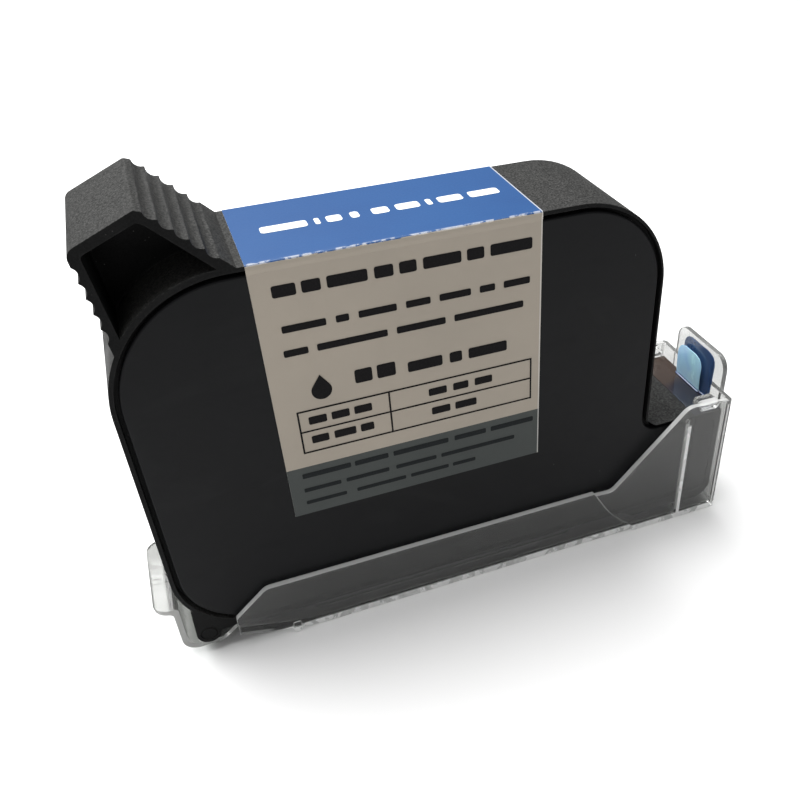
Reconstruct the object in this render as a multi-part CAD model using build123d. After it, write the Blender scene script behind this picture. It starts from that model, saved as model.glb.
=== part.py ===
from build123d import *
from math import hypot
import os

# Half-inch thermal inkjet cartridge for a date coder, closed by its clear protective clip.
# Millimetres. While the pieces are made, x runs from the case's left edge towards the contacts,
# y = 0 is the plane of symmetry and z runs up from the clip's flat underside. Every piece is
# moved along x at the end, so that the origin is under the middle of the whole object.

# Case
case_thickness = 19.0
case_length = 80.4
case_height = 60.1
case_wall = 2.6
top_left_radius = 17.7
top_right_radius = 14.7
bottom_left_radius = 12.1

# Snout, which carries the printhead below and the contacts on its end
snout_reach = 14.6
snout_height = 19.15
snout_drop = 1.25
snout_step_width = 1.6
snout_base = 18.0
snout_block = 6.6
snout_top_radius = 0.8
snout_end_radius = 2.6
ledge_corner_radius = 2.0
panel_width = 4.4
panel_height = 15.8
panel_margin = 0.9
panel_depth = 0.3
panel_radius = 1.5

# Side covers and the groove around them
rim_land = 0.65
rim_land_right = 0.35
rim_land_ledge = 0.2
groove_width = 0.6
groove_depth = 1.2
cover_recess = 0.1
cover_seat = 1.0
skirt_depth = 1.4
skirt_wall = 0.8
moulded_clearance = 0.05

# Grip at the top left corner
grip_left_inset = 0.85
grip_left_rise = 5.4
grip_crest_inset = 9.2
grip_crest_rise = 9.0
grip_apex_inset = 10.5
grip_apex_rise = 8.5
grip_left_lean = 0.12
grip_corner_radius = 1.5
grip_wall = 1.5
grip_web = 1.5
grip_floor = 0.2
scallop_pitch = 2.08
scallop_radius = 1.25
scallop_depth = 0.45
scallop_count = 5
scallop_side_drop = 2.0
scallop_top_drop = 1.0

# Foot under the bottom left corner, which the clip's latch hooks
foot_inset = 1.3
foot_radius = 1.9
foot_drop = 1.9
foot_boss_radius = 1.35
foot_boss_depth = 0.25

# Ink bag, its plates and its spring
bag_frame_gap = 0.3
bag_frame_wall = 1.6
bag_side_gap = 0.2
bag_film = 0.12
plate_thickness = 0.5
plate_gap = 0.3
plate_length = 52.0
plate_height = 34.0
plate_radius = 6.0
spring_width = 8.0
spring_thickness = 0.3
spring_foot = 5.0
spring_length = 34.0
fill_ball_radius = 1.95
fill_ball_clearance = 0.02
fill_port_place = 0.45

# Ink path and printhead
carrier_length = 5.4
carrier_height = 9.0
carrier_width = 10.0
ink_bore_radius = 1.6
mesh_thickness = 0.2
die_length = 14.0
die_width = 7.6
die_thickness = 0.65
die_gap = 0.05
nozzle_plate_margin = 0.5
nozzle_plate_thickness = 0.08
flex_width = 15.0
flex_thickness = 0.12
flex_rise = 18.0
window_margin = 0.9
sealant_height = 0.18
pad_rows = 13
pad_columns = 4
pad_radius = 0.42
pad_height = 0.04
pad_pitch_up = 1.1
pad_pitch_across = 1.5
pad_field_gap = 1.4

# Protective tape and its pull tab
tape_thickness = 0.1
tape_gap = 0.12
tape_on_ledge = 5.2
tape_width = 18.6
tab_low_side = -6.5
tab_high_side = 3.4
tab_height = 8.7
tab_thickness = 0.25
tab_setback = 0.7
tab_fold_gap = 0.15
tab_fold_shift = 1.6
tab_radius = 1.8

# Wrap-around label
label_left = 19.95
label_width = 40.0
label_thickness = 0.12
label_drop = 40.5
label_back_drop = 6.0

# Clip: floor, walls, end wall, tongue and hooks
clip_floor = 1.2
clip_wall = 1.0
clip_side_clearance = 0.1
clip_end_clearance = 0.5
clip_pocket_step = 0.5
clip_wall_height = 11.1
clip_left_inset = 7.75
clip_left_heel = 2.8
clip_left_low = 6.4
clip_left_slope = 5.4
clip_heel_run = 11.0
clip_heel_radius = 40.0
clip_right_low = 10.9
clip_dip_run = 3.3
clip_diagonal_foot = 21.1
clip_diagonal_head = 7.3
clip_diagonal_top = 25.0
clip_head_radius = 2.6
clip_end_height = 24.4
clip_edge_radius = 0.9
clip_joggle_foot = 16.4
clip_joggle_run = 8.0
clip_joggle_bend = 4.5
clip_joggle_radius = 20.0
tongue_half = 7.3
tongue_height = 30.2
tongue_step = 0.7
tongue_overlap = 4.0
tongue_radius = 2.6
hook_length = 3.8
hook_height = 1.6
hook_depth = 1.4
hook_clearance = 1.2
hook_inset = 4.9
rib_inset = 6.9
rib_width = 0.6
rib_depth = 0.45
peg_place = 16.7
peg_radius = 0.8
peg_length = 2.3
rail_height = 0.9
rail_width = 0.8
rail_inset = 2.2
rail_margin = 1.5
rail_end_gap = 10.0
seal_length = 16.0
seal_width = 12.0
seal_thickness = 1.1
seal_gap = 0.2

# Latch at the clip's free end
latch_half = 8.6
latch_thickness = 1.0
latch_gap = 1.4
latch_height = 10.4
thumb_reach = 2.7
thumb_radius = 2.6
latch_under_foot = 0.5
latch_radius = 1.4
hinge_web_gap = 0.1

# Heights and places that follow from the sizes above
nozzle_face = clip_floor + seal_thickness + seal_gap + tape_thickness + tape_gap
snout_bottom = nozzle_face + flex_thickness
case_bottom = snout_bottom + snout_drop
case_top = case_bottom + case_height
ledge_top = snout_bottom + snout_height
snout_end = case_length + snout_reach
snout_start = snout_end - snout_base
half_case = case_thickness / 2
cover_face = half_case - cover_recess
seat_plane = half_case - groove_depth
bag_frame_half = seat_plane - skirt_depth - bag_side_gap - bag_film
cover_inset = rim_land + groove_width
cavity_end = snout_end - snout_block
die_middle = snout_end - snout_end_radius - window_margin - die_length / 2
end_wall_in = snout_end + clip_end_clearance
end_wall_out = end_wall_in + clip_wall
left_wall_in = half_case + clip_side_clearance
left_wall_out = left_wall_in + clip_wall
pocket_in = left_wall_in + clip_pocket_step
pocket_out = left_wall_out + clip_pocket_step
strap_in = foot_inset - latch_gap
thumb_end = strap_in - latch_thickness - thumb_reach
tongue_out = end_wall_out + tongue_step
middle_x = (thumb_end + tongue_out) / 2
foot_low = case_bottom - foot_drop
hinge_line = clip_left_inset - hinge_web_gap


def slab(sketch, y_from, y_to):
    """A solid with the given outline in x and z, between two places along y."""
    return extrude(Plane.XZ.offset(-y_to) * sketch, amount=y_to - y_from)


def outline(corners):
    """A closed outline from (x, z, corner radius) entries."""
    points = [(x, z) for x, z, radius in corners]
    radii = [radius for x, z, radius in corners]
    return make_face(FilletPolyline(*points, radius=radii, close=True))


def rectangle(x_from, x_to, z_from, z_to, radius=0):
    return outline([(x, z, radius) for x, z in
                    [(x_from, z_from), (x_to, z_from), (x_to, z_to), (x_from, z_to)]])


def block(x_from, x_to, y_from, y_to, z_from, z_to):
    return slab(rectangle(x_from, x_to, z_from, z_to), y_from, y_to)


def upright_block(end, half, radius):
    """A tall block over the whole object, cut off at x = end, with that end's edges rounded."""
    far = end + 2 * snout_end if half > 0 else end - 2 * snout_end
    plan = make_face(FilletPolyline((end, -half), (end, half), (far, half), (far, -half),
                                    radius=[radius, radius, 0, 0], close=True))
    return extrude(Pos(0, 0, -1) * plan, amount=2 * case_top)


def disc(x, z, radius):
    return Pos(x, z) * Circle(radius)


def case_outline(inset, right_end):
    """The case's side view without grip and foot, moved inwards by inset, up to right_end."""
    right = case_length - inset + (rim_land - rim_land_right if inset else 0)
    ledge = ledge_top - inset + (rim_land - rim_land_ledge if inset else 0)
    return outline([
        (inset, case_bottom + inset, bottom_left_radius - inset),
        (inset, case_top - inset, top_left_radius - inset),
        (right, case_top - inset, top_right_radius - inset),
        (right, ledge, ledge_corner_radius + inset),
        (right_end, ledge, snout_top_radius),
        (right_end, case_bottom + inset, snout_top_radius),
    ])


def snout_outline():
    """The snout's solid end and its underside, which reaches below the case."""
    return outline([
        (snout_start, ledge_top, 0),
        (snout_start, case_bottom, 0),
        (snout_start + snout_step_width, snout_bottom, 0),
        (snout_end, snout_bottom, snout_end_radius),
        (snout_end, ledge_top, snout_top_radius),
    ])


def grip_outline(inset):
    """The grip's side view: left edge, crest, apex and the slope down to the case's top."""
    left_top = case_top + grip_left_rise
    left_foot = case_top - top_left_radius / 2
    lean = grip_left_lean * (left_top - left_foot)
    slope_x = grip_apex_inset + grip_apex_rise
    return outline([
        (grip_left_inset + lean + inset, left_foot, 0),
        (grip_left_inset + inset, left_top - inset / 2, max(grip_corner_radius - inset, 0.6)),
        (grip_crest_inset, case_top + grip_crest_rise - inset, 0.6),
        (grip_apex_inset - inset / 3, case_top + grip_apex_rise - inset, 0.3),
        (slope_x - inset * 1.4, case_top, 0),
        (slope_x, left_foot, 0),
    ])


def scallops(first, run, rise):
    """Round cutters along a straight edge. Its tips start at first and go on by (run, rise)."""
    length = hypot(run, rise)
    across, up = run / length, rise / length
    centre_out = scallop_radius - scallop_depth
    cutters = []
    for tooth in range(scallop_count):
        along = (tooth + 0.5) * scallop_pitch
        x = first[0] + across * along
        z = first[1] + up * along
        cutters.append(disc(x - up * centre_out, z + across * centre_out, scallop_radius))
    return cutters


def pen_frame():
    """The case's moulded ring with its grip, foot and solid snout end."""
    frame = slab(case_outline(0, snout_end - snout_end_radius), -half_case, half_case)
    frame += slab(snout_outline(), -half_case, half_case)
    frame += slab(grip_outline(0), -half_case, half_case)
    frame += slab(foot_outline(), -half_case, half_case)
    for cutter in grip_cutters():
        frame -= slab(cutter, -half_case - 1, half_case + 1)
    frame -= slab(case_outline(case_wall, cavity_end), -half_case - 1, half_case + 1)
    pocket = grip_outline(grip_wall) - disc(top_left_radius, case_top - top_left_radius,
                                            top_left_radius + grip_floor)
    recess = case_outline(rim_land, cavity_end + cover_seat + groove_width)
    panel = rectangle(snout_end - panel_margin - panel_width, snout_end - panel_margin,
                      snout_bottom + 2 * panel_margin, snout_bottom + 2 * panel_margin + panel_height,
                      panel_radius)
    boss = disc(foot_inset + foot_radius, foot_low + foot_radius, foot_boss_radius)
    ring = boss - disc(foot_inset + foot_radius, foot_low + foot_radius, foot_boss_radius - foot_boss_depth)
    for side in (-1, 1):
        for sketch, depth in [(pocket, half_case - grip_web / 2), (recess, groove_depth),
                              (panel, panel_depth), (ring, foot_boss_depth)]:
            low, high = sorted([side * (half_case - depth), side * (half_case + 1)])
            frame -= slab(sketch, low, high)
    die_pocket = die_thickness + die_gap
    frame -= block(die_middle - die_length / 2 - die_gap, die_middle + die_length / 2 + die_gap,
                   -die_width / 2 - die_gap, die_width / 2 + die_gap,
                   snout_bottom - 1, snout_bottom + die_pocket)
    frame -= Pos(carrier_middle(), 0, snout_bottom) * Cylinder(
        ink_bore_radius, 2 * (case_wall + snout_drop + 1))
    frame -= Pos(fill_x(), 0, case_bottom) * Cylinder(
        fill_ball_radius + fill_ball_clearance, 4 * fill_ball_radius)
    return frame


def foot_outline():
    """The lobe under the bottom left corner and the neck that joins it to the case."""
    middle_x_of_lobe = foot_inset + foot_radius
    middle_z = foot_low + foot_radius
    neck = outline([
        (foot_inset, middle_z, 0),
        (middle_x_of_lobe + 0.95 * foot_radius, middle_z, 0),
        (bottom_left_radius * 0.65, case_bottom + 0.3, 0),
        (bottom_left_radius, case_bottom, 0),
        (bottom_left_radius, case_bottom + case_wall / 2, 0),
        (foot_inset + case_wall / 2, case_bottom + bottom_left_radius / 2, 0),
        (foot_inset + 0.2, case_bottom + bottom_left_radius * 0.45, 0),
    ])
    return neck + disc(middle_x_of_lobe, middle_z, foot_radius)


def grip_cutters():
    """Scallops down the grip's left edge and down its slope."""
    left_start = case_top + grip_left_rise - scallop_side_drop
    left = scallops((grip_left_inset + grip_left_lean * scallop_side_drop, left_start),
                    grip_left_lean, -1)
    mirrored = []
    for cutter in left:
        place = cutter.center()
        edge_x = grip_left_inset + grip_left_lean * (case_top + grip_left_rise - place.Y)
        mirrored.append(disc(2 * edge_x - place.X, place.Y, scallop_radius))
    start = scallop_top_drop - scallop_pitch / 2 ** 0.5
    slope = scallops((grip_apex_inset + start, case_top + grip_apex_rise - start), 1, -1)
    return mirrored + slope


def carrier_middle():
    return cavity_end - carrier_length / 2 - snout_top_radius


def fill_x():
    return case_length * fill_port_place


def side_cover(side):
    """A flat cover set into the case's side, with a skirt that plugs into the cavity."""
    inner, outer = sorted([side * seat_plane, side * cover_face])
    cover = slab(case_outline(cover_inset, cavity_end + cover_seat), inner, outer)
    skirt_inset = case_wall + moulded_clearance
    skirt = case_outline(skirt_inset, cavity_end - moulded_clearance)
    skirt -= case_outline(skirt_inset + skirt_wall, cavity_end - moulded_clearance - skirt_wall)
    low, high = sorted([side * (seat_plane - skirt_depth), side * seat_plane])
    cover += slab(skirt, low, high)
    return cover


def bag_ring(inset):
    """The ink bag's outline inside the case's main chamber."""
    edge = case_wall + bag_frame_gap + inset
    right = case_length - edge
    return outline([
        (edge, case_bottom + edge, bottom_left_radius - edge),
        (edge, case_top - edge, top_left_radius - edge),
        (right, case_top - edge, top_right_radius - edge),
        (right, case_bottom + edge, 3),
    ])


def inner_frame():
    """The pale ring that the bag films are welded to, with a neck for the fill ball."""
    half = bag_frame_half
    frame = slab(bag_ring(0) - bag_ring(bag_frame_wall), -half, half)
    frame -= Pos(fill_x(), 0, case_bottom + case_wall) * Cylinder(
        fill_ball_radius + fill_ball_clearance, 4 * fill_ball_radius)
    outlet_z = snout_bottom + snout_height / 2
    frame -= Pos(case_length - case_wall, 0, outlet_z) * Rot(0, 90, 0) * Cylinder(
        ink_bore_radius, 4 * bag_frame_wall)
    return frame


def bag_side(side):
    low, high = sorted([side * bag_frame_half, side * (bag_frame_half + bag_film)])
    return slab(bag_ring(0), low, high)


def plate_place():
    """The middle of the bag, in x and z."""
    edge = case_wall + bag_frame_gap + bag_frame_wall
    return case_length / 2, (case_bottom + edge + case_top - edge) / 2


def pressure_plate(side):
    x, z = plate_place()
    far = bag_frame_half - plate_gap
    low, high = sorted([side * (far - plate_thickness), side * far])
    plate = Pos(x, z) * RectangleRounded(plate_length, plate_height, plate_radius)
    return slab(plate, low, high)


def bow_spring():
    """A flat leaf, bowed twice, whose feet push both plates outwards."""
    x, z = plate_place()
    reach = bag_frame_half - plate_gap - plate_thickness
    half_leaf = spring_thickness / 2
    far = reach - half_leaf
    half_length = spring_length / 2
    start = half_length - spring_foot
    paths = []
    for side in (-1, 1):
        top = side * far
        paths.append(Line((-half_length, top), (-start, top)))
        paths.append(Line((start, top), (half_length, top)))
        paths.append(ThreePointArc((-start, top), (0, side * half_leaf * 0.8), (start, top)))
    spring = trace(paths[0], line_width=spring_thickness)
    for path in paths[1:]:
        spring += trace(path, line_width=spring_thickness)
    return extrude(Pos(x, 0, z - spring_width / 2) * spring, amount=spring_width)


def filter_carrier():
    """The block that leads ink down to the printhead, with a seat for the filter on top."""
    middle = carrier_middle()
    floor = case_bottom + case_wall + moulded_clearance
    carrier = block(middle - carrier_length / 2, middle + carrier_length / 2,
                    -carrier_width / 2, carrier_width / 2, floor, floor + carrier_height)
    carrier = fillet(carrier.edges().filter_by(Axis.Z), 0.8)
    carrier -= Pos(middle, 0, floor + carrier_height / 2) * Cylinder(ink_bore_radius, carrier_height + 2)
    return carrier


def filter_mesh():
    middle = carrier_middle()
    seat = case_bottom + case_wall + moulded_clearance + carrier_height
    sketch = Rectangle(carrier_length - 1, carrier_width - 1)
    return extrude(Pos(middle, 0, seat) * sketch, amount=mesh_thickness)


def fill_plug():
    return Pos(fill_x(), 0, case_bottom + fill_ball_radius + 0.3) * Sphere(fill_ball_radius)


def printhead_die():
    return block(die_middle - die_length / 2, die_middle + die_length / 2,
                 -die_width / 2, die_width / 2, snout_bottom, snout_bottom + die_thickness)


def nozzle_plate():
    half_length = die_length / 2 + nozzle_plate_margin
    half_width = die_width / 2 + nozzle_plate_margin
    return block(die_middle - half_length, die_middle + half_length, -half_width, half_width,
                 snout_bottom - nozzle_plate_thickness, snout_bottom)


def wrap_strip(gap, thickness, left, end_height):
    """A strip's side view: under the snout from left, round its corner and up its end."""
    strips = []
    for offset in (gap + thickness, gap):
        strips.append(outline([
            (left, snout_bottom - offset, 0),
            (snout_end + offset, snout_bottom - offset, snout_end_radius + offset),
            (snout_end + offset, end_height, 0),
            (snout_end - snout_end_radius - 1, end_height, 0),
            (left, snout_end_radius + snout_bottom + 1, 0),
        ]))
    return strips[0] - strips[1]


def flex_circuit():
    """The thin circuit from the printhead round the corner to the contacts."""
    left = die_middle - die_length / 2 - 2 * window_margin
    strip = wrap_strip(0, flex_thickness, left, snout_bottom + flex_rise)
    flex = slab(strip, -flex_width / 2, flex_width / 2)
    half_length = die_length / 2 + window_margin
    half_width = die_width / 2 + window_margin
    flex -= block(die_middle - half_length, die_middle + half_length, -half_width, half_width,
                  snout_bottom - 1, snout_bottom + 0.01)
    return flex


def contact_pads():
    """Gold pads on the snout's end, in two fields."""
    pads = []
    face = snout_end + flex_thickness
    low = snout_bottom + snout_end_radius + 1
    for side in (-1, 1):
        for column in range(pad_columns // 2):
            for row in range(pad_rows):
                y = side * (pad_field_gap / 2 + (column + 0.5) * pad_pitch_across)
                pad = Pos(face + pad_height / 2, y, low + row * pad_pitch_up) * Rot(0, 90, 0)
                pads.append(pad * Cylinder(pad_radius, pad_height))
    return pads


def bond_sealant():
    """Beads that cover the printhead's bonds, at both ends of the flex's window."""
    beads = []
    shift = die_length / 2 + nozzle_plate_margin + 0.05
    half_width = die_width / 2
    for side in (-1, 1):
        near, far = sorted([die_middle + side * shift, die_middle + side * (shift + window_margin
                            - nozzle_plate_margin - 0.1)])
        beads.append(block(near, far, -half_width, half_width, snout_bottom - sealant_height, snout_bottom))
    return beads


def nozzle_tape():
    """The protective tape: under the nozzles, up the contacts and over onto the ledge."""
    gap = flex_thickness + tape_gap
    left = snout_start + snout_step_width + 0.5
    rise = ledge_top + tape_thickness
    strip = wrap_strip(gap, tape_thickness, left, rise)
    ledge = rectangle(snout_end - tape_on_ledge, snout_end + gap + tape_thickness, ledge_top, rise)
    return slab(strip + ledge, -tape_width / 2, tape_width / 2)


def tape_pull_tab():
    """A coloured leaf folded double over the tape's upper end."""
    foot = ledge_top + tape_thickness
    left = snout_end - tab_setback
    tab = None
    for leaf in range(2):
        shift = -leaf * tab_fold_shift
        height = tab_height - (1 - leaf) * tab_fold_gap
        face = Rectangle(tab_high_side - tab_low_side - tab_fold_shift, height + tab_radius)
        face = fillet(face.vertices(), tab_radius)
        face &= Pos(0, tab_radius) * Rectangle(100, height + tab_radius)
        middle = (tab_low_side + tab_fold_shift + tab_high_side) / 2 + shift
        plane = Plane(origin=(left + leaf * tab_thickness, middle, foot + (height - tab_radius) / 2),
                      x_dir=(0, 1, 0), z_dir=(1, 0, 0))
        sheet = extrude(plane * face, amount=tab_thickness)
        tab = sheet if tab is None else tab + sheet
    return tab


def wrap_label():
    """The label: down the near cover, over the case's top and a little way down the far cover."""
    near, far = half_case, cover_face
    bend = case_top - rim_land

    def path(offset):
        return [(-far - offset, bend - label_drop), (-far - offset, bend - groove_width),
                (-near - offset, bend), (-near - offset, case_top + offset),
                (near + offset, case_top + offset), (near + offset, bend),
                (far + offset, bend - groove_width), (far + offset, bend - label_back_drop)]

    section = make_face(Polyline(*path(label_thickness), *reversed(path(0)), close=True))
    plane = Plane(origin=(label_left, 0, 0), x_dir=(0, 1, 0), z_dir=(1, 0, 0))
    return extrude(plane * section, amount=label_width)


def clip_outline():
    """The clip's side view: low wall, long diagonal, high end, flat bottom with a risen heel."""
    diagonal_foot = snout_end - clip_diagonal_foot
    return outline([
        (clip_left_inset, clip_left_heel, 0),
        (clip_left_inset, clip_left_low, 0.5),
        (clip_left_inset + clip_left_slope, clip_wall_height, 2.0),
        (diagonal_foot - clip_dip_run, clip_wall_height, 1.0),
        (diagonal_foot, clip_right_low, 2.0),
        (snout_end - clip_diagonal_head, clip_diagonal_top, clip_head_radius),
        (end_wall_out, clip_end_height, 0.3),
        (end_wall_out, 0, 0.8),
        (clip_left_inset + clip_heel_run, 0, clip_heel_radius),
    ])


def clip_space(floor_height):
    """Everything above the clip's floor and left of its end wall, in side view."""
    heel = clip_left_inset + clip_heel_run
    top = tongue_height + 5
    return outline([
        (clip_left_inset - 5, clip_left_heel * (1 + 5 / clip_heel_run) + floor_height, 0),
        (heel, floor_height, clip_heel_radius - floor_height),
        (end_wall_in, floor_height, 0.6),
        (end_wall_in, top, 0),
        (clip_left_inset - 5, top, 0),
    ])


def clip_shell():
    """The clear clip: a trough around the case's foot that hooks over the snout."""
    side = clip_outline()
    joggle_foot = snout_end - clip_joggle_foot
    joggle_head = joggle_foot - clip_joggle_run
    pocket = side & outline([
        (joggle_head - 1, tongue_height, 0),
        (joggle_head, clip_wall_height, 0),
        ((joggle_head + joggle_foot) / 2, clip_joggle_bend, clip_joggle_radius),
        (joggle_foot, clip_floor, 0),
        (joggle_foot, -1, 0),
        (end_wall_out + 1, -1, 0),
        (end_wall_out + 1, tongue_height, 0),
    ])
    shell = slab(side, -left_wall_out, left_wall_out) + slab(pocket, -pocket_out, pocket_out)
    shell &= upright_block(end_wall_out, -pocket_out, clip_edge_radius)
    space = clip_space(clip_floor)
    shell -= slab(space, -left_wall_in, left_wall_in)
    inner_pocket = space & pocket
    shell -= slab(inner_pocket, -pocket_in, pocket_in)
    tongue = Plane(origin=(tongue_out - clip_wall, 0, 0), x_dir=(0, 1, 0), z_dir=(1, 0, 0))
    tongue_low = clip_end_height - tongue_overlap
    plate = Pos(0, (tongue_low + tongue_height) / 2) * Rectangle(2 * tongue_half, tongue_height - tongue_low)
    plate = fillet(plate.vertices().group_by(Axis.Y)[-1], tongue_radius)
    shell += extrude(tongue * plate, amount=clip_wall)
    for side_sign in (-1, 1):
        hook_low = ledge_top + hook_clearance
        hook_x = snout_end - hook_inset
        hook = rectangle(hook_x, hook_x + hook_length, hook_low, hook_low + hook_height,
                         hook_height * 0.45)
        low, high = sorted([side_sign * (half_case - hook_depth), side_sign * (pocket_out - 0.1)])
        shell += slab(hook, low, high)
        rib_x = snout_end - rib_inset
        low, high = sorted([side_sign * (pocket_in - rib_depth), side_sign * (pocket_in + 0.1)])
        shell += block(rib_x - rib_width / 2, rib_x + rib_width / 2, low, high,
                       clip_floor / 2, ledge_top)
        peg = disc(peg_place, peg_radius, peg_radius) + rectangle(
            peg_place - peg_radius * 0.8, peg_place + peg_radius * 0.8, peg_radius, peg_length)
        low, high = sorted([side_sign * (left_wall_out - clip_wall), side_sign * (left_wall_out + 0.35)])
        shell += slab(peg, low, high)
        rail = side_sign * (left_wall_in - rail_inset)
        shell += block(clip_left_inset + clip_heel_run + rail_margin, snout_start - rail_end_gap,
                       rail - rail_width / 2, rail + rail_width / 2,
                       clip_floor / 2, clip_floor + rail_height)
    return shell


def clip_seal_pad():
    """The soft pad under the nozzles."""
    pad = Pos(die_middle, 0, clip_floor) * RectangleRounded(seal_length, seal_width, 1.5)
    return extrude(pad, amount=seal_thickness)


def clip_latch():
    """The springy tongue that goes under the foot, up beside it and out to a thumb tab."""
    strap_out = strap_in - latch_thickness
    low = foot_low - latch_under_foot - latch_thickness
    corner = latch_radius
    side = outline([
        (hinge_line, clip_left_heel + latch_thickness, 0),
        (hinge_line, clip_left_heel, 0),
        (foot_inset + 2 * foot_radius, low, corner + latch_thickness),
        (strap_out, low, corner + latch_thickness),
        (strap_out, latch_height - latch_thickness, corner / 2),
        (thumb_end, latch_height - latch_thickness, 0.45),
        (thumb_end, latch_height, 0.45),
        (strap_in, latch_height, 0.7),
        (strap_in, low + latch_thickness, corner),
        (foot_inset + 2 * foot_radius, low + latch_thickness, corner),
    ])
    return slab(side, -latch_half, latch_half) & upright_block(thumb_end, latch_half, thumb_radius)


def save(node, shape):
    """Write one node's piece, moved so that the origin is under the object's middle."""
    solids = shape if isinstance(shape, list) else shape.solids()
    placed = [Pos(-middle_x, 0, 0) * solid for solid in solids]
    piece = placed[0] if len(placed) == 1 else Compound(children=placed)
    export_step(piece, f"parts/{node}.step")
    box = piece.bounding_box()
    print(f"{node:22s} solids {len(placed):3d}  x {box.min.X:7.2f} {box.max.X:7.2f}  "
          f"y {box.min.Y:7.2f} {box.max.Y:7.2f}  z {box.min.Z:7.2f} {box.max.Z:7.2f}")


os.makedirs("parts", exist_ok=True)
save("pen_frame", pen_frame())
save("near_side_cover", side_cover(-1))
save("far_side_cover", side_cover(1))
save("inner_frame", inner_frame())
save("near_bag_film", bag_side(-1))
save("far_bag_film", bag_side(1))
save("near_pressure_plate", pressure_plate(-1))
save("far_pressure_plate", pressure_plate(1))
save("bow_spring", bow_spring())
save("filter_carrier", filter_carrier())
save("filter_mesh", filter_mesh())
save("fill_plug", fill_plug())
save("printhead_die", printhead_die())
save("nozzle_plate", nozzle_plate())
save("flex_circuit", flex_circuit())
save("contact_pads", contact_pads())
save("bond_sealant", bond_sealant())
save("nozzle_tape", nozzle_tape())
save("tape_pull_tab", tape_pull_tab())
save("wrap_label", wrap_label())
save("clip_shell", clip_shell())
save("clip_seal_pad", clip_seal_pad())
save("clip_latch", clip_latch())
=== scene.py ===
import math
import bmesh
import bpy
from mathutils import Euler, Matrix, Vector, noise


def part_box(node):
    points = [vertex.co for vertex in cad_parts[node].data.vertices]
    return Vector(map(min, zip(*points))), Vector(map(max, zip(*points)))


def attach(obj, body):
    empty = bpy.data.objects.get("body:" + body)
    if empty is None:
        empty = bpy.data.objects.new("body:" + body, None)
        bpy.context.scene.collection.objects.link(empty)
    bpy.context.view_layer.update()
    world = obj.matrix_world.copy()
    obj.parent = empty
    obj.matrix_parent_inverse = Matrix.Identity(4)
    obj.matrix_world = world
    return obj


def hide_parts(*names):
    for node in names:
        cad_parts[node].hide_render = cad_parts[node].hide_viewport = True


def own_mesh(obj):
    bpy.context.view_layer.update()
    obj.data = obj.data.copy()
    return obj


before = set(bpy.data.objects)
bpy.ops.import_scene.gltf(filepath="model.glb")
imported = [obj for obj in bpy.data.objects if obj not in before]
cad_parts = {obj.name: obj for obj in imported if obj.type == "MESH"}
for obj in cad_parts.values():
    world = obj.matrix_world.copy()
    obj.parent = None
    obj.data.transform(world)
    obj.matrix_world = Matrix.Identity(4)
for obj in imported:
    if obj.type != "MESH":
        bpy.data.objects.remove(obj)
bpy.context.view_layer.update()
mm = 0.001


# Helpers for node materials. Every pattern reads Object coordinates: the row frame, in metres.

def newLook(name, colour, roughness, **sockets):
    look = bpy.data.materials.new(name)
    look.use_nodes = True
    shader = look.node_tree.nodes["Principled BSDF"]
    shader.inputs["Base Color"].default_value = (*colour, 1)
    shader.inputs["Roughness"].default_value = roughness
    for socket, value in sockets.items():
        shader.inputs[socket.replace("_", " ")].default_value = value
    return look


def put(look, kind, inputs=None, **settings):
    made = look.node_tree.nodes.new(kind)
    for key, value in settings.items():
        setattr(made, key, value)
    for key, value in (inputs or {}).items():
        if isinstance(value, bpy.types.NodeSocket):
            look.node_tree.links.new(value, made.inputs[key])
        else:
            made.inputs[key].default_value = value
    return made


def paint(look, socket, value):
    look.node_tree.links.new(value, look.node_tree.nodes["Principled BSDF"].inputs[socket])


def place(look, stretch=(1, 1, 1)):
    where = put(look, "ShaderNodeTexCoord").outputs["Object"]
    return put(look, "ShaderNodeMapping", {"Vector": where, "Scale": stretch}).outputs["Vector"]


def axisOf(look, axis):
    where = put(look, "ShaderNodeTexCoord").outputs["Object"]
    return put(look, "ShaderNodeSeparateXYZ", {"Vector": where}).outputs[axis]


def facing(look, axis):
    normal = put(look, "ShaderNodeNewGeometry").outputs["Normal"]
    return put(look, "ShaderNodeSeparateXYZ", {"Vector": normal}).outputs[axis]


def grain(look, scale, detail=4, roughness=0.6, stretch=(1, 1, 1), distortion=0.0):
    inputs = {"Vector": place(look, stretch), "Scale": scale, "Detail": detail,
              "Roughness": roughness, "Distortion": distortion}
    return put(look, "ShaderNodeTexNoise", inputs).outputs["Fac"]


def cells(look, scale, feature="F1", stretch=(1, 1, 1)):
    inputs = {"Vector": place(look, stretch), "Scale": scale}
    return put(look, "ShaderNodeTexVoronoi", inputs, feature=feature).outputs["Distance"]


def remap(look, value, low, high, to=(0, 1)):
    inputs = {0: value, 1: low, 2: high, 3: to[0], 4: to[1]}
    return put(look, "ShaderNodeMapRange", inputs).outputs["Result"]


def calc(look, operation, a, b=0.0):
    return put(look, "ShaderNodeMath", {0: a, 1: b}, operation=operation).outputs[0]


def times(look, *masks):
    product = masks[0]
    for mask in masks[1:]:
        product = calc(look, "MULTIPLY", product, mask)
    return product


def absolute(look, value):
    return calc(look, "ABSOLUTE", value)


def ramp(look, factor, stops):
    made = put(look, "ShaderNodeValToRGB", {"Fac": factor})
    elements = made.color_ramp.elements
    while len(elements) < len(stops):
        elements.new(0.5)
    for element, (position, colour) in zip(elements, stops):
        element.position = position
        element.color = (*colour, 1)
    return made.outputs["Color"]


def over(look, factor, under, top):
    made = put(look, "ShaderNodeMix", {0: factor}, data_type="RGBA")
    for slot, value in ((6, under), (7, top)):
        if isinstance(value, bpy.types.NodeSocket):
            look.node_tree.links.new(value, made.inputs[slot])
        else:
            made.inputs[slot].default_value = (*value, 1)
    return made.outputs[2]


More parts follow.
